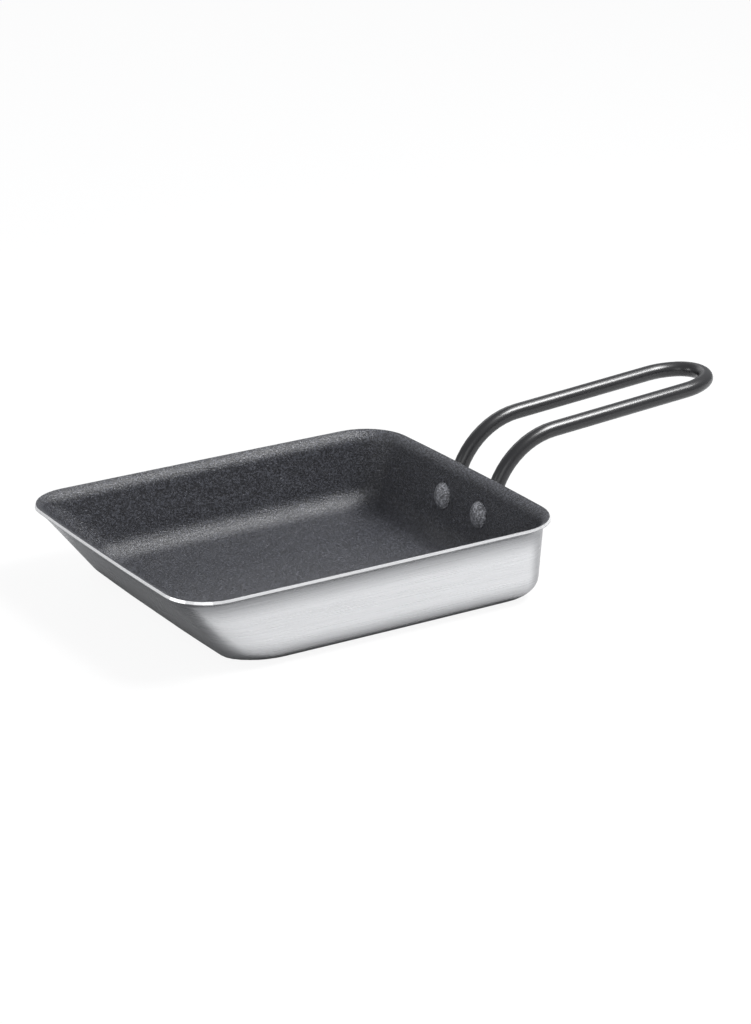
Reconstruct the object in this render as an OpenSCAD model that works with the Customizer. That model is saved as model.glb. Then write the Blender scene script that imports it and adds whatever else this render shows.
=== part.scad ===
// Tamagoyaki pan: a pressed rectangular sheet pan with a non-stick lining,
// a looped rod handle with flattened ends, and two rivets.
// Frame: +X towards the handle, +Z up, origin under the middle of the rim, on the resting plane.

/* [Pan] */
// Length of the rim between its corners, over the lip
rim_l = 181; // [150:1:220]
// Width of the rim between its corners, over the lip
rim_w = 151; // [125:1:190]
// Height of the rim's top edge
pan_h = 35.7; // [32:0.1:50]
// Thickness of the metal sheet
sheet_t = 1.35; // [1:0.05:2]
// Thickness of the non-stick lining
coat_t = 0.15; // [0.1:0.01:0.3]
// Lean of the two long walls from upright, in degrees
side_draft = 1; // [0.5:0.5:6]
// Lean of the wall that carries the handle, in degrees
handle_draft = 10; // [5:0.5:16]
// Lean of the serving wall opposite the handle, in degrees
serve_draft = 38; // [20:1:42]
// Outer radius between the base and the walls
base_round = 11.2; // [7:0.1:13]
// Outward bow of the two short walls
end_bow = 1.4; // [0:0.1:2]
// Outward bow of the two long walls
side_bow = 0.3; // [0:0.1:1]

/* [Corners] */
// Corner radius of the rim at the serving end
rim_r_serve = 18.8; // [14:0.1:26]
// Corner radius of the rim at the handle end
rim_r_handle = 20.6; // [15:0.1:28]
// Corner radius of the flat base at the serving end
base_r_serve = 17.5; // [10:0.1:24]
// Corner radius of the flat base at the handle end
base_r_handle = 10.5; // [7:0.1:20]

/* [Lip] */
// Radius under the flared lip
lip_r = 4.85; // [3:0.05:6]
// Angle of the lip's edge from upright, in degrees
lip_angle = 71; // [55:1:80]

/* [Handle] */
// Diameter of the handle rod
rod_d = 6.8; // [5:0.1:8]
// Distance between the centres of the two legs
leg_gap = 28.8; // [26:0.1:36]
// Reach of the handle beyond the lip
handle_l = 126.5; // [90:0.5:180]
// Height of the grip's centre over the rim, at the lip
grip_over = 14.5; // [11:0.1:25]
// Rise of the grip, in degrees
grip_rise = 4; // [0:0.5:12]
// Slope of the legs where they pass the lip, in degrees
leg_slope = 66; // [58:1:74]
// Radius of the bend between leg and grip
bend_r = 35; // [20:0.5:40]
// Radius of the rod's centre line at the tip of the loop
tip_r = 12.5; // [9:0.5:14]
// Turn of the wider bends on both sides of the tip, in degrees
tip_turn = 34; // [20:1:50]
// Width of the flattened ends
pad_w = 12.4; // [10:0.1:14]
// Thickness of the flattened ends
pad_t = 3; // [2:0.1:4]
// Height of the flat above the rivet
pad_rise = 5; // [4:0.1:7]
// Air between the legs and the lip
lip_gap = 0.15; // [0.1:0.05:1]

/* [Rivets] */
// Diameter of the rivet shanks
rivet_d = 5; // [4:0.1:6]
// Diameter of the heads inside the pan
head_d = 12.4; // [10:0.1:14]
// Height of the heads inside the pan
head_h = 3; // [2:0.1:4]
// Diameter of the closed ends outside
tail_d = 8.6; // [7:0.1:10]
// Height of the closed ends outside
tail_h = 1.6; // [1:0.1:2.5]
// Radial clearance of the shanks in their holes
rivet_gap = 0.05; // [0.03:0.01:0.2]

/* [Hidden] */
wall_t = sheet_t + coat_t;
edge_z = pan_h - wall_t * sin(lip_angle);
leg_y = leg_gap / 2;
rod_r = rod_d / 2;
seat_y = leg_y + max(pad_w, head_d) / 2 + 1;
lip_steps = 7;
round_steps = 8;
corner_steps = 8;
rod_sides = 20;
eps = 0.01;

// The outline of one wall's section: inset from the rim, height and lean at each station,
// from the flat base up the outside to the lip's lower edge.
function wall_top_z(draft) = edge_z - lip_r * (sin(lip_angle) - sin(draft));
function wall_top_u(draft) = lip_r * (cos(draft) - cos(lip_angle));
function wall_foot_z(draft) = base_round * (1 - sin(draft));
function wall_foot_u(draft) =
    wall_top_u(draft) + (wall_top_z(draft) - wall_foot_z(draft)) * tan(draft);
function round_stop(draft, k) =
    let(lean = 90 + (draft - 90) * k / round_steps)
    [wall_foot_u(draft) + base_round * (cos(draft) - cos(lean)), base_round * (1 - sin(lean)), lean];
function lip_stop(draft, k) =
    let(lean = draft + (lip_angle - draft) * k / lip_steps)
    [lip_r * (cos(lean) - cos(lip_angle)), edge_z - lip_r * (sin(lip_angle) - sin(lean)), lean];
function section(draft) = concat(
    [for (k = [0:round_steps]) round_stop(draft, k)],
    [for (k = [0:lip_steps]) lip_stop(draft, k)]);

// A station of the section moved through the sheet by a depth from the outer face.
function sunk(stop, depth) = [stop[0] + depth * cos(stop[2]), stop[1] + depth * sin(stop[2])];

side_section = section(side_draft);
handle_section = section(handle_draft);
serve_section = section(serve_draft);
stations = len(side_section);

// Corner radius at a station: it keeps its centre under the lip and eases to the base's radius below.
function corner_r(rim_r, base_r, k) =
    let(stop = side_section[k], top_z = wall_top_z(side_draft), top_r = rim_r - wall_top_u(side_draft))
    stop[1] >= top_z - eps ? rim_r - stop[0] : base_r + (top_r - base_r) * stop[1] / top_z;

// The bow moves a point outwards most at the middle of each wall. A flat stays where the handle sits.
function bowed(p, x_mid, x_half, y_half) =
    let(x = (p[0] - x_mid) / x_half, y = p[1] / y_half, y_flat = max(abs(p[1]), seat_y) / y_half)
    [p[0] + sign(x) * end_bow * max(0, 1 - y_flat * y_flat) * x * x,
     p[1] + sign(y) * side_bow * (1 - x * x) * y * y];

// One closed ring of points round the pan, at a station and a depth in the sheet.
function ring(k, depth) =
    let(side = sunk(side_section[k], depth), far = sunk(serve_section[k], depth),
        near = sunk(handle_section[k], depth), cut = depth * cos(side_section[k][2]),
        x_near = rim_l / 2 - near[0], x_far = rim_l / 2 - far[0], y_half = rim_w / 2 - side[0],
        r_near = corner_r(rim_r_handle, base_r_handle, k) - cut,
        r_far = corner_r(rim_r_serve, base_r_serve, k) - cut,
        x_mid = (x_near - x_far) / 2, x_half = (x_near + x_far) / 2,
        y_near = y_half - r_near, y_far = y_half - r_far,
        flat_near = [-y_near, -(y_near + seat_y) / 2, -seat_y, seat_y, (y_near + seat_y) / 2, y_near],
        flat_far = [y_far, (y_far + seat_y) / 2, seat_y, -seat_y, -(y_far + seat_y) / 2, -y_far],
        x_a = x_near - r_near, x_b = r_far - x_far,
        outline = concat(
            [for (i = [0:corner_steps - 1]) let(a = -90 + 90 * i / corner_steps)
                [x_a + r_near * cos(a), -y_near + r_near * sin(a), a]],
            [for (y = flat_near) [x_near, y, 0]],
            [for (i = [1:corner_steps]) let(a = 90 * i / corner_steps)
                [x_a + r_near * cos(a), y_near + r_near * sin(a), a]],
            [for (i = [1:3]) [x_a + (x_b - x_a) * i / 4, y_half, 90]],
            [for (i = [0:corner_steps - 1]) let(a = 90 + 90 * i / corner_steps)
                [x_b + r_far * cos(a), y_far + r_far * sin(a), a]],
            [for (y = flat_far) [-x_far, y, 180]],
            [for (i = [1:corner_steps]) let(a = 180 + 90 * i / corner_steps)
                [x_b + r_far * cos(a), -y_far + r_far * sin(a), a]],
            [for (i = [1:3]) [x_b + (x_a - x_b) * i / 4, -y_half, 270]]))
    [for (p = outline)
        let(w = cos(p[2]) * cos(p[2]), z_end = cos(p[2]) > 0 ? near[1] : far[1],
            q = bowed(p, x_mid, x_half, y_half))
        [q[0], q[1], side[1] * (1 - w) + z_end * w]];

// Skins a list of rings, each run counterclockwise about the direction of travel, and closes both ends.
module skin(rings) {
    n = len(rings[0]);
    last = len(rings) - 1;
    polyhedron(
        points = [for (r = rings) each r],
        faces = concat(
            [[for (j = [0:n - 1]) j]],
            [for (i = [0:last - 1], j = [0:n - 1])
                let(a = i * n + j, b = i * n + (j + 1) % n) each [[a, a + n, b + n], [a, b + n, b]]],
            [[for (j = [n - 1:-1:0]) last * n + j]]),
        convexity = 6);
}

// A thin shell between two depths of the sheet, open at the top.
module pressed_shell(outer, inner) {
    skin(concat(
        [for (k = [0:stations - 1]) ring(k, outer)],
        [for (k = [stations - 1:-1:0]) ring(k, inner)]));
}

// The handle's wall as a line in the middle plane: a point by its height, and its directions.
seat_bow = end_bow * max(0, 1 - pow(seat_y / (rim_w / 2), 2));
wall_up = [sin(handle_draft), cos(handle_draft)];
wall_out = [cos(handle_draft), -sin(handle_draft)];
rivet_z = (wall_top_z(handle_draft) + wall_foot_z(handle_draft)) / 2;
rivet_x = seat_x(rivet_z);
function seat_x(z) =
    let(top = ring(round_steps + 1, 0), foot = ring(round_steps, 0), i = corner_steps + 2,
        t = (z - foot[i][2]) / (top[i][2] - foot[i][2]))
    foot[i][0] + (top[i][0] - foot[i][0]) * t;

// The handle's line in the plane of a leg: past the lip with its gap, then over a bend into the grip.
leg_dir = [cos(leg_slope), sin(leg_slope)];
leg_out = [sin(leg_slope), -cos(leg_slope)];
grip_dir = [cos(grip_rise), sin(grip_rise)];
lip_x = rim_l / 2 + seat_bow;
lip_pass = [lip_x, edge_z] + (rod_r + lip_gap) * leg_out;
grip_start = [lip_x, pan_h + grip_over];
grip_off = grip_start - lip_pass;
to_corner = (grip_off[1] * grip_dir[0] - grip_off[0] * grip_dir[1])
    / (leg_dir[1] * grip_dir[0] - leg_dir[0] * grip_dir[1]);
leg_corner = lip_pass + to_corner * leg_dir;
bend_turn = leg_slope - grip_rise;
bend_cut = bend_r * tan(bend_turn / 2);
bend_start = leg_corner - bend_cut * leg_dir;
bend_mid = bend_start + bend_r * leg_out;
side_tip_r = (leg_y - tip_r * cos(tip_turn)) / (1 - cos(tip_turn));
loop_l = side_tip_r * sin(tip_turn) + tip_r * (1 - sin(tip_turn));
grip_end_x = lip_x + handle_l - rod_r - loop_l * grip_dir[0];
grip_end = [grip_end_x, leg_corner[1] + (grip_end_x - leg_corner[0]) * tan(grip_rise)];
pad_mid = [rivet_x, rivet_z] + pad_t / 2 * wall_out;
leg_foot = bend_start * 0.5 + (pad_mid + (pad_rise + 6) * wall_up) * 0.5;
pad_top = pad_mid + pad_rise * wall_up;

// A stop on the leg: place, slope, half thickness and half width of the section.
function eased(t) = t * t * (3 - 2 * t);
function hermite(p, v, q, w, t) =
    (2 * t * t * t - 3 * t * t + 1) * p + (t * t * t - 2 * t * t + t) * v
    + (3 * t * t - 2 * t * t * t) * q + (t * t * t - t * t) * w;
flare_steps = 9;
flare_l = norm(bend_start - pad_top);
flare_points = [for (i = [0:flare_steps])
    hermite(pad_top, flare_l * wall_up, bend_start, flare_l * leg_dir, i / flare_steps)];
function flare_slope(i) =
    i == 0 ? 90 - handle_draft : i == flare_steps ? leg_slope
    : let(d = flare_points[i + 1] - flare_points[i - 1]) atan2(d[1], d[0]);
end_steps = 5;
end_turn = acos(pad_t / pad_w);
leg_stops = concat(
    [for (i = [0:end_steps]) let(a = end_turn * (1 - i / end_steps))
        [pad_mid - pad_w / 2 * sin(a) * wall_up, 90 - handle_draft, pad_t / 2, pad_w / 2 * cos(a)]],
    [for (i = [0:flare_steps]) let(t = eased(min(1, i / flare_steps * 1.15)))
        [flare_points[i], flare_slope(i), pad_t / 2 + (rod_r - pad_t / 2) * t,
         pad_w / 2 + (rod_r - pad_w / 2) * t]],
    [for (i = [1:10]) let(a = leg_slope - bend_turn * i / 10)
        [bend_mid + bend_r * [-sin(a), cos(a)], a, rod_r, rod_r]]);

// A ring of the rod's section: travel and up directions, half thickness along up and half width across.
function rod_ring(at, go, up, half_t, half_w) =
    let(across = cross(up, go))
    [for (i = [0:rod_sides - 1])
        let(a = (i + 0.5) * 360 / rod_sides, grow = 1 / cos(180 / rod_sides), c = cos(a) * grow)
        at + across * (half_t * c + sign(c) * (half_w - half_t)) + up * half_t * sin(a) * grow];
function leg_ring(stop, y, turn) =
    rod_ring([stop[0][0], y, stop[0][1]], turn * [cos(stop[1]), 0, sin(stop[1])],
        [-sin(stop[1]), 0, cos(stop[1])], stop[2], stop[3]);

// The loop at the end of the grip, in the grip's own sloping plane.
side_tip_steps = 5;
tip_steps = 12;
function on_grip(along, y) = [grip_end[0] + along * grip_dir[0], y, grip_end[1] + along * grip_dir[1]];
tip_mid = (side_tip_r - tip_r) * sin(tip_turn);
loop_stops = concat(
    [for (i = [0:side_tip_steps]) let(a = tip_turn * i / side_tip_steps)
        [side_tip_r * sin(a), side_tip_r * (1 - cos(a)) - leg_y, a]],
    [for (i = [1:tip_steps - 1]) let(a = tip_turn + (180 - 2 * tip_turn) * i / tip_steps)
        [tip_mid + tip_r * sin(a), -tip_r * cos(a), a]],
    [for (i = [side_tip_steps:-1:0]) let(a = tip_turn * i / side_tip_steps)
        [side_tip_r * sin(a), leg_y - side_tip_r * (1 - cos(a)), 180 - a]]);
loop_rings = [for (s = loop_stops)
    rod_ring(on_grip(s[0], s[1]), [cos(s[2]) * grip_dir[0], sin(s[2]), cos(s[2]) * grip_dir[1]],
        [-grip_dir[1], 0, grip_dir[0]], rod_r, rod_r)];

// Puts its children on a rivet's axis: X outwards through the wall, from the wall's outer face.
module at_rivets() {
    for (y = [-leg_y, leg_y])
        translate([rivet_x, y, rivet_z])
        rotate([0, handle_draft, 0])
        children();
}

module rivet_holes() {
    at_rivets()
    translate([-wall_t - 5, 0, 0])
    rotate([0, 90, 0])
    cylinder(h = wall_t + pad_t + 10, r = rivet_d / 2 + rivet_gap, $fn = 48);
}

// A dome of a given width and height, standing on the plane z = 0.
module dome(d, h) {
    ball_r = (d * d / 4 + h * h) / (2 * h);
    intersection() {
        translate([0, 0, h - ball_r]) sphere(r = ball_r, $fn = 64);
        cylinder(h = h + 1, r = d / 2 + 1, $fn = 64);
    }
}

module pan_body() {
    color([0.75, 0.75, 0.76])
    difference() {
        pressed_shell(0, sheet_t);
        rivet_holes();
    }
}

module nonstick_lining() {
    color([0.16, 0.16, 0.17])
    difference() {
        pressed_shell(sheet_t, wall_t);
        rivet_holes();
    }
}

module handle() {
    color([0.08, 0.08, 0.09])
    difference() {
        skin(concat(
            [for (s = leg_stops) leg_ring(s, -leg_y, 1)],
            loop_rings,
            [for (i = [len(leg_stops) - 1:-1:0]) leg_ring(leg_stops[i], leg_y, -1)]));
        rivet_holes();
    }
}

module rivets() {
    color([0.2, 0.2, 0.21])
    at_rivets()
    union() {
        translate([-wall_t, 0, 0]) rotate([0, -90, 0]) dome(head_d, head_h);
        translate([-wall_t, 0, 0]) rotate([0, 90, 0]) cylinder(h = wall_t + pad_t, r = rivet_d / 2, $fn = 48);
        translate([pad_t, 0, 0]) rotate([0, 90, 0]) dome(tail_d, tail_h);
    }
}

pan_body();
nonstick_lining();
handle();
rivets();
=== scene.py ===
# %% [markdown]
# This is a small rectangular omelette pan: a pressed metal tray with a dark lining and a black rod
# for a handle. A frame holds its four CAD nodes at their real places, in metres. The pieces could
# be modelled again and fitted by eye, but then they might drift from the real sizes, so each one
# here starts from its node.
# %% Load the frame
import math
import bmesh
import bpy
from mathutils import Matrix, Vector


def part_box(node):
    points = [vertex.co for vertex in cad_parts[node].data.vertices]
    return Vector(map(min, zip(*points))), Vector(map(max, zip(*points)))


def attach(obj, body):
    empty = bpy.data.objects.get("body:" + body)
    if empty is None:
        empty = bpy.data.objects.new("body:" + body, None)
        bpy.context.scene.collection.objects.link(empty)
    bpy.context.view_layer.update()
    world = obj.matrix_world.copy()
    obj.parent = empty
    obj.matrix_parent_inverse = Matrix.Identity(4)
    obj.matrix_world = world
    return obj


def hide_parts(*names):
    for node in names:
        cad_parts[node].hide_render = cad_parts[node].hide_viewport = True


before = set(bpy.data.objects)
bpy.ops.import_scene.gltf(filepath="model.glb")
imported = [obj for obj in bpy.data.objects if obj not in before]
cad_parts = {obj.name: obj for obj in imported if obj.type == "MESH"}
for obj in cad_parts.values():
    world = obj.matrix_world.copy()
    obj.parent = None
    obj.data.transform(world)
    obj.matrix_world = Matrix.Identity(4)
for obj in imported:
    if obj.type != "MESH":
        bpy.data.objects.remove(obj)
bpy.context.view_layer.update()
MM = 0.001
print("nodes:", sorted(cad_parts))

# %% [markdown]
# The camera comes first, because every look is judged through it. It could be moved by hand until
# the picture seems right. Here its turn, distance and lens were worked out from the rim, which is a
# rounded rectangle, and that is far closer than the eye gets.
# %% Camera values
AZIMUTH = math.radians(-31.48)
ELEVATION = math.radians(20.47)
ROLL = math.radians(-0.40)
DISTANCE = 1335.3 * MM
AIM_RIGHT = -35.21 * MM
AIM_UP = -32.0 * MM
FOCAL_PIXELS = 3125.0
FRAME_HEIGHT = 1024.0
SENSOR = 36.0
print("lens", round(FOCAL_PIXELS / FRAME_HEIGHT * SENSOR, 2), "mm")

# %% [markdown]
# Blender can aim a camera at a point with a constraint, but that leaves no say in its roll. Three
# directions at right angles, to the camera's right, up and back, make up its matrix instead.
# %% Place the camera
back = Vector((math.sin(AZIMUTH) * math.cos(ELEVATION),
               -math.cos(AZIMUTH) * math.cos(ELEVATION),
               math.sin(ELEVATION)))
level = Vector((math.cos(AZIMUTH), math.sin(AZIMUTH), 0))
above = back.cross(level)
right = math.cos(ROLL) * level + math.sin(ROLL) * above
up = math.cos(ROLL) * above - math.sin(ROLL) * level
camera_data = bpy.data.cameras.new("camera")
camera_data.lens = FOCAL_PIXELS / FRAME_HEIGHT * SENSOR
camera_data.sensor_width = SENSOR
camera = bpy.data.objects.new("camera", camera_data)
bpy.context.scene.collection.objects.link(camera)
turn = Matrix((right, up, back)).transposed().to_4x4()
stand = back * DISTANCE - right * AIM_RIGHT - up * AIM_UP
camera.matrix_world = Matrix.Translation(stand) @ turn
bpy.context.scene.camera = camera
print("camera at", [round(x, 3) for x in camera.matrix_world.translation])

# %% [markdown]
# A material is a net of small nodes. They could be added and linked one at a time, but a sum of
# three noises is then a page long. This class wraps a socket instead, so that adding or multiplying
# wires adds the Math nodes, and one method makes any other node.
# %% A socket that does maths


class Wire:
    """A shader socket with Python's operators."""

    def __init__(self, tree, socket):
        self.tree = tree
        self.socket = socket

    def node(self, kind, settings=(), outlet=0, **inputs):
        """Any node. An input is called by its name, or by i and its number."""
        made = self.tree.nodes.new(kind)
        for name, value in dict(settings).items():
            setattr(made, name, value)
        for name, value in inputs.items():
            numbered = name[0] == "i" and name[1:].isdigit()
            key = int(name[1:]) if numbered else name.replace("_", " ")
            if isinstance(value, Wire):
                self.tree.links.new(value.socket, made.inputs[key])
            else:
                made.inputs[key].default_value = value
        return Wire(self.tree, made.outputs[outlet])

    def maths(self, operation, first, second):
        return self.node("ShaderNodeMath", {"operation": operation}, i0=first, i1=second)

    def __add__(self, other):
        return self.maths("ADD", self, other)

    def __radd__(self, other):
        return self.maths("ADD", other, self)

    def __sub__(self, other):
        return self.maths("SUBTRACT", self, other)

    def __rsub__(self, other):
        return self.maths("SUBTRACT", other, self)

    def __mul__(self, other):
        return self.maths("MULTIPLY", self, other)

    def ramp(self, low, high):
        """0 below low, 1 above high, smooth between."""
        return self.node("ShaderNodeMapRange", {"interpolation_type": "SMOOTHSTEP"},
                         Value=self, From_Min=low, From_Max=high)

    def blend(self, first, second):
        """A colour that goes from first to second as this goes from 0 to 1."""
        return self.node("ShaderNodeMix", {"data_type": "RGBA"}, outlet=2,
                         i0=self, i6=first, i7=second)


print("wires ready")

# %% [markdown]
# Every finish on the pan starts alike: a shader, and the place of each point on the piece. Object
# coordinates are used for that place, because they stay on the piece when it is turned or moved.
# %% What each material starts from
FINE_DETAIL = 3.0
SOFT_DETAIL = 2.0


def new_material(name):
    """A material with its shader, and a wire on the object's own coordinates."""
    made = bpy.data.materials.new(name)
    made.use_nodes = True
    shader = made.node_tree.nodes["Principled BSDF"]
    place = made.node_tree.nodes.new("ShaderNodeTexCoord").outputs["Object"]
    return made, shader, Wire(made.node_tree, place)


def feed(made, shader, name, wire):
    """Links a wire to one of the shader's sockets."""
    made.node_tree.links.new(wire.socket, shader.inputs[name])


def noise(place, scale, detail, **more):
    """Cloudy noise, from 0 to 1, with this many spots to the metre."""
    return place.node("ShaderNodeTexNoise", Vector=place, Scale=scale, Detail=detail, **more)


def stretched_noise(place, spots, detail):
    """Noise with a different number of spots to the metre along each axis."""
    squeezed = place.node("ShaderNodeMapping", Vector=place, Scale=spots)
    return noise(squeezed, 1.0, detail)


print("material helpers ready")

# %% [markdown]
# The outside of the pan is brushed metal, a mirror with thousands of fine level scratches. Each
# scratch could be drawn, but noise that is stretched far along the walls and packed tightly up them
# gives the same look at any distance.
# %% Brushed metal: the grain
GRAIN_SPOTS = (25, 25, 5200)
BROAD_SPOTS = (9, 9, 420)
GRAIN_SHARE = 0.85
BROAD_SHARE = 0.15
TONE_CONTRAST = (0.3, 0.7)
metal, metal_shader, metal_place = new_material("brushed_metal")
grain = stretched_noise(metal_place, GRAIN_SPOTS, FINE_DETAIL)
broad = stretched_noise(metal_place, BROAD_SPOTS, SOFT_DETAIL)
tone = (grain * GRAIN_SHARE + broad * BROAD_SHARE).ramp(*TONE_CONTRAST)
print("grain of", GRAIN_SPOTS[2], "lines to the metre")

# %% [markdown]
# The walls look lightest in the middle of their height, and darker under the lip, round the bend at
# the base and at the two ends of the pan. Much of that is what the metal mirrors in a studio. The
# lamps here give only a part of it, so the rest is painted shade in the metal's colour: two ramps on
# the height, and two on how far the surface faces along the pan.
# %% Brushed metal: painted shade by height and facing
RIM_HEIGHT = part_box("pan_body")[1].z
PAINTED_SHADE_AT_BASE = (1.5 * MM, 13 * MM)
PAINTED_SHADE_UNDER_LIP = (RIM_HEIGHT - 13 * MM, RIM_HEIGHT - 2 * MM)
PAINTED_SHADE_FACING_HANDLE = (0.12, 0.6)
PAINTED_SHADE_FACING_SERVING = (0.6, 0.8)
PAINTED_END_SHADE = 0.75
# Painted shade: the metal's colour goes from the lighter grain tones to these darker ones where shade
# is painted.
UNSHADED_METAL = ((0.70, 0.705, 0.71, 1), (0.79, 0.794, 0.80, 1))
PAINTED_SHADE_METAL = ((0.24, 0.243, 0.25, 1), (0.33, 0.333, 0.342, 1))
height = metal_place.node("ShaderNodeSeparateXYZ", outlet=2, Vector=metal_place)
painted_height_light = height.ramp(*PAINTED_SHADE_AT_BASE) * (1 - height.ramp(*PAINTED_SHADE_UNDER_LIP))
normal = Wire(metal.node_tree, metal.node_tree.nodes.new("ShaderNodeTexCoord").outputs["Normal"])
along = metal_place.node("ShaderNodeSeparateXYZ", outlet=0, Vector=normal)
painted_end_mask = along.ramp(*PAINTED_SHADE_FACING_HANDLE) + (0 - along).ramp(*PAINTED_SHADE_FACING_SERVING)
# Painted shade: the metal's colour is darkened near the base, under the lip and on the ends that face
# along the pan.
painted_lightness = painted_height_light * (1 - painted_end_mask * PAINTED_END_SHADE)
grain_and_painted_shade_colour = painted_lightness.blend(tone.blend(*PAINTED_SHADE_METAL), tone.blend(*UNSHADED_METAL))
print("rim", round(RIM_HEIGHT / MM, 2), "mm high")

# %% [markdown]
# The rim is cut after pressing, so its edge is bare bright metal with no grain. It could be a
# piece of its own, but it is the same sheet, so a ramp on the height picks it out.
# %% Brushed metal: the trimmed edge and the shader
EDGE_HEIGHT = RIM_HEIGHT - 1.15 * MM
EDGE_BLUR = 0.2 * MM
EDGE_COLOUR = (0.95, 0.95, 0.95, 1)
METAL_ROUGHNESS = 0.25
GRAIN_ROUGHNESS = 0.12
EDGE_ROUGHNESS = 0.12
SCRATCH_DEPTH = 0.02 * MM
SCRATCH_STRENGTH = 0.12
edge = height.ramp(EDGE_HEIGHT - EDGE_BLUR, EDGE_HEIGHT + EDGE_BLUR)
metal_roughness = METAL_ROUGHNESS + tone * GRAIN_ROUGHNESS + edge * EDGE_ROUGHNESS
scratches = metal_place.node("ShaderNodeBump", Height=grain, Strength=SCRATCH_STRENGTH,
                             Distance=SCRATCH_DEPTH)
feed(metal, metal_shader, "Base Color", edge.blend(grain_and_painted_shade_colour, EDGE_COLOUR))
feed(metal, metal_shader, "Roughness", metal_roughness)
feed(metal, metal_shader, "Normal", scratches)
metal_shader.inputs["Metallic"].default_value = 1.0
print("bright edge above", round(EDGE_HEIGHT / MM, 2), "mm")

# %% [markdown]
# The non-stick lining is charcoal with a fine sparkle, from flakes that lie at slightly different
# tilts in the coating. Real flakes would be millions of faces. A tight noise that drives the colour,
# the roughness and a shallow bump gives the same glitter. The rivets share it with much paler flakes,
# partly a painted highlight on their domed heads.
# %% Non-stick lining
FLAKE_SPOTS = 1150.0
CLOUD_SPOTS = 260.0
FLAKE_SHARE = 0.8
CLOUD_SHARE = 0.2
CLOUD_ROUGHNESS = 0.1
FLAKE_GLOSS = 0.16
FLAKE_DEPTH = 0.4 * MM
FLAKE_TILT = 1.0
FLAKE_RAGGEDNESS = 0.75
SPARKLE_CONTRAST = (0.44, 0.66)
COATING_SPECULAR = 0.6
LINING_COLOURS = ((0.010, 0.010, 0.012, 1), (0.095, 0.099, 0.115, 1))
LINING_ROUGHNESS = 0.35
# Painted highlight: the rivets' flakes are far paler than the lining's, and stand in partly for the
# light on their domed heads.
RIVET_COLOURS_WITH_PAINTED_HIGHLIGHT = ((0.03, 0.03, 0.034, 1), (0.50, 0.51, 0.55, 1))
RIVET_ROUGHNESS = 0.27


def flaked_coating(name, colours, roughness):
    """A coating with flakes, between a dark ground and a light sparkle."""
    made, shader, place = new_material(name)
    flakes = noise(place, FLAKE_SPOTS, FINE_DETAIL, Roughness=FLAKE_RAGGEDNESS)
    clouds = noise(place, CLOUD_SPOTS, SOFT_DETAIL)
    sparkle = flakes.ramp(*SPARKLE_CONTRAST)
    tilts = place.node("ShaderNodeBump", Height=flakes, Strength=FLAKE_TILT, Distance=FLAKE_DEPTH)
    colour = (sparkle * FLAKE_SHARE + clouds * CLOUD_SHARE).blend(*colours)
    feed(made, shader, "Base Color", colour)
    feed(made, shader, "Roughness", roughness + clouds * CLOUD_ROUGHNESS - sparkle * FLAKE_GLOSS)
    feed(made, shader, "Normal", tilts)
    shader.inputs["Specular IOR Level"].default_value = COATING_SPECULAR
    return made


lining = flaked_coating("nonstick_lining", LINING_COLOURS, LINING_ROUGHNESS)
rivet_coat_with_painted_highlight = flaked_coating("rivet_coat_with_painted_highlight", RIVET_COLOURS_WITH_PAINTED_HIGHLIGHT, RIVET_ROUGHNESS)
print("made", lining.name, "and", rivet_coat_with_painted_highlight.name)

# %% [markdown]
# The rod is steel under a smooth black finish, and its look is nearly all in its long highlights.
# Plain black would leave them as even as a drawn line, so a slow noise shifts the colour and a
# fine one the roughness. A thin clear coat adds a crisper reflection over the soft one.
# %% Black enamel
WAVE_SPOTS = 90.0
DUST_SPOTS = 1400.0
ENAMEL_ROUGHNESS = 0.28
DUST_ROUGHNESS = 0.05
ENAMEL_COAT = 0.15
ENAMEL_COAT_ROUGHNESS = 0.2
ENAMEL_COLOURS = ((0.009, 0.009, 0.01, 1), (0.015, 0.015, 0.016, 1))
enamel, enamel_shader, enamel_place = new_material("black_enamel")
waves = noise(enamel_place, WAVE_SPOTS, SOFT_DETAIL)
dust = noise(enamel_place, DUST_SPOTS, SOFT_DETAIL)
feed(enamel, enamel_shader, "Base Color", waves.blend(*ENAMEL_COLOURS))
feed(enamel, enamel_shader, "Roughness", ENAMEL_ROUGHNESS + dust * DUST_ROUGHNESS)
enamel_shader.inputs["Coat Weight"].default_value = ENAMEL_COAT
enamel_shader.inputs["Coat Roughness"].default_value = ENAMEL_COAT_ROUGHNESS
print("made", enamel.name)

# %% [markdown]
# Each frame node is a bag of loose flat triangles. Subdividing it would round off the drilled holes
# and the cut rim. A copy with its corners merged keeps the true shape, and it can be shaded smooth
# where faces meet gently and stay crisp elsewhere. The copy then stands for its node.
# %% Dress the pieces
MERGE_DISTANCE = 0.002 * MM
SHEET_CREASE = math.radians(35)
ROD_CREASE = math.radians(45)
RIVET_CREASE = math.radians(40)


def dressed(node, name, material, crease):
    """A merged smooth copy of a node, with a material, that stands in the node's place."""
    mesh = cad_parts[node].data.copy()
    work = bmesh.new()
    work.from_mesh(mesh)
    bmesh.ops.remove_doubles(work, verts=work.verts, dist=MERGE_DISTANCE)
    bmesh.ops.recalc_face_normals(work, faces=work.faces)
    work.to_mesh(mesh)
    work.free()
    mesh.materials.clear()
    mesh.materials.append(material)
    mesh.polygons.foreach_set("use_smooth", [True] * len(mesh.polygons))
    mesh.set_sharp_from_angle(angle=crease)
    piece = bpy.data.objects.new(name, mesh)
    bpy.context.scene.collection.objects.link(piece)
    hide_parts(node)
    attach(piece, "root")
    print(name, len(mesh.polygons), "faces")


dressed("pan_body", "pan_shell", metal, SHEET_CREASE)
dressed("nonstick_lining", "lining", lining, SHEET_CREASE)
dressed("handle", "handle_loop", enamel, ROD_CREASE)
dressed("rivets", "rivet_pair", rivet_coat_with_painted_highlight, RIVET_CREASE)

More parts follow.
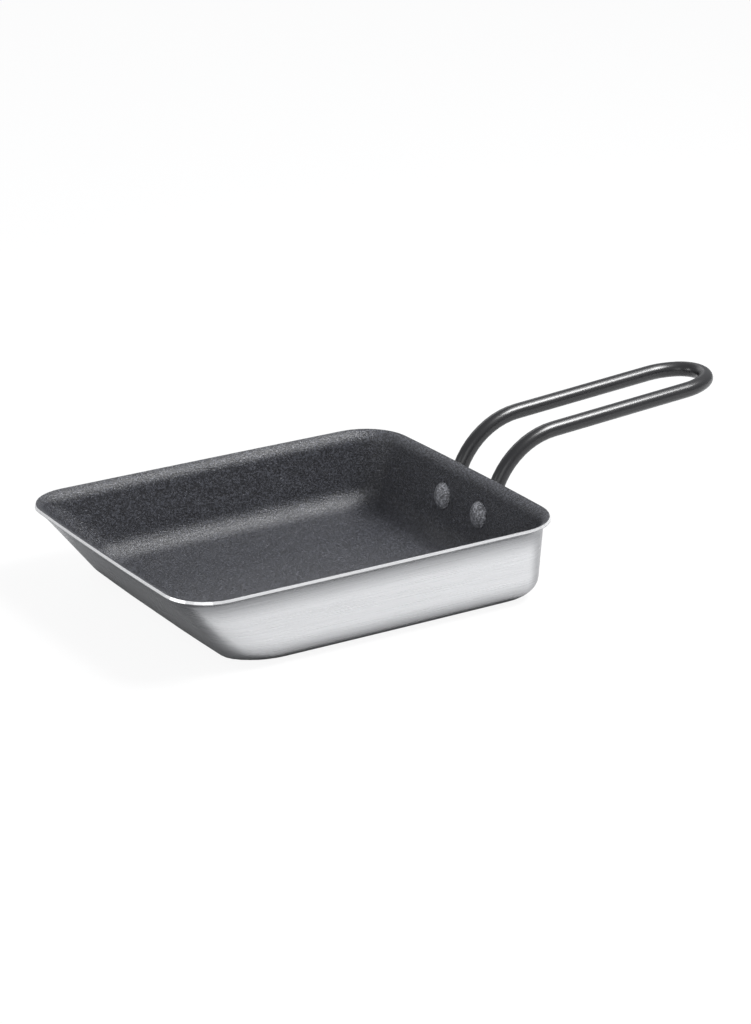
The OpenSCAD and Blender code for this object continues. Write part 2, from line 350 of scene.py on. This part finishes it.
# %% [markdown]
# The pan stands on a pale floor under a pale sky. Enough lamps would make both white, and the pan
# with them. A Light Path node shows them to the camera as white instead, while what lights the pan
# and shows in its metal stays at a plain level.
# %% White for the camera alone
WHITE = (1, 1, 1, 1)


def white_to_camera(tree, plain, white, share, output):
    """The camera sees this share of the white shader, and all other rays see the plain one."""
    path = tree.nodes.new("ShaderNodeLightPath")
    seen = Wire(tree, path.outputs["Is Camera Ray"]) * share
    mixed = tree.nodes.new("ShaderNodeMixShader")
    tree.links.new(seen.socket, mixed.inputs[0])
    tree.links.new(plain.outputs[0], mixed.inputs[1])
    tree.links.new(white.outputs[0], mixed.inputs[2])
    tree.links.new(mixed.outputs[0], tree.nodes[output].inputs["Surface"])


print("white is", WHITE)

# %% [markdown]
# The floor is one large square, because nothing but its paint and the pan's shadow shows. It could
# be hidden, but then the pan would float. It keeps a share of its own paint for the camera, and with
# that a soft shadow. It lies a hair under the base, so that the two don't flicker through each other.
# %% Floor
REACH = 6.0
FLOOR_Z = -0.02 * MM
FLOOR_GLOW = 1.06
FLOOR_WHITE_SHARE = 0.86
FLOOR_COLOUR = (0.52, 0.52, 0.525, 1)
FLOOR_ROUGHNESS = 0.9
corners = [(-REACH, -REACH, FLOOR_Z), (REACH, -REACH, FLOOR_Z),
           (REACH, REACH, FLOOR_Z), (-REACH, REACH, FLOOR_Z)]
floor_mesh = bpy.data.meshes.new("floor")
floor_mesh.from_pydata(corners, [], [(0, 1, 2, 3)])
floor = bpy.data.objects.new("floor", floor_mesh)
bpy.context.scene.collection.objects.link(floor)
floor_paint, floor_shader, floor_place = new_material("pale_floor")
floor_shader.inputs["Base Color"].default_value = FLOOR_COLOUR
floor_shader.inputs["Roughness"].default_value = FLOOR_ROUGHNESS
glow = floor_paint.node_tree.nodes.new("ShaderNodeEmission")
glow.inputs["Color"].default_value = WHITE
glow.inputs["Strength"].default_value = FLOOR_GLOW
white_to_camera(floor_paint.node_tree, floor_shader, glow, FLOOR_WHITE_SHARE, "Material Output")
floor_mesh.materials.append(floor_paint)
print("floor", 2 * REACH, "m wide")

# %% [markdown]
# The sky is the weak light that comes from everywhere, as from a studio's walls. A picture of a real
# studio could stand in for it, but an even grey is plain, and it suits the pan under other light.
# %% Sky
SKY_STRENGTH = 0.7
SKY_COLOUR = (0.62, 0.63, 0.65, 1)
SKY_WHITE_SHARE = 1.0
world = bpy.data.worlds.new("studio")
bpy.context.scene.world = world
world.use_nodes = True
sky = world.node_tree.nodes["Background"]
sky.inputs["Color"].default_value = SKY_COLOUR
sky.inputs["Strength"].default_value = SKY_STRENGTH
white_sky = world.node_tree.nodes.new("ShaderNodeBackground")
white_sky.inputs["Color"].default_value = WHITE
white_to_camera(world.node_tree, sky, white_sky, SKY_WHITE_SHARE, "World Output")
print("sky at strength", SKY_STRENGTH)

# %% [markdown]
# A studio lights metal with soft boxes, large glowing panels that show in it as bright bands.
# Point lamps would leave hard dots. The box overhead draws the bands along the bends of the lining,
# and a weak one beside it helps on the lip. The one by the camera opens the near walls, the far one
# edges the rod, and the low one on the left picks out the rivet heads.
# %% Soft boxes
SOFT_BOXES = (
    # name, direction from the pan, distance, width, depth, watts
    ("overhead_box", (0.45, -0.33, 0.83), 1.1, 0.42, 0.38, 16),
    ("camera_box", (-0.55, -0.75, 0.35), 1.5, 0.7, 0.9, 3),
    ("lip_box", (0.49, 0.05, 0.87), 1.1, 0.3, 0.3, 1.5),
    ("far_box", (0.2, 0.85, 0.5), 1.6, 1.2, 0.5, 2),
    ("rivet_box", (-0.9, 0.15, 0.3), 1.2, 0.5, 0.3, 3),
)
for box_name, direction, distance, width, depth, watts in SOFT_BOXES:
    light = bpy.data.lights.new(box_name, "AREA")
    light.shape = "RECTANGLE"
    light.size = width
    light.size_y = depth
    light.energy = watts
    lamp = bpy.data.objects.new(box_name, light)
    bpy.context.scene.collection.objects.link(lamp)
    outward = Vector(direction).normalized()
    lamp.location = outward * distance
    lamp.rotation_euler = (-outward).to_track_quat("-Z", "Y").to_euler()
print(len(SOFT_BOXES), "soft boxes")

# %% [markdown]
# The Standard view shows a colour about as it is written, where the default one would mute it.
# %% Finish
bpy.context.scene.view_settings.view_transform = "Standard"
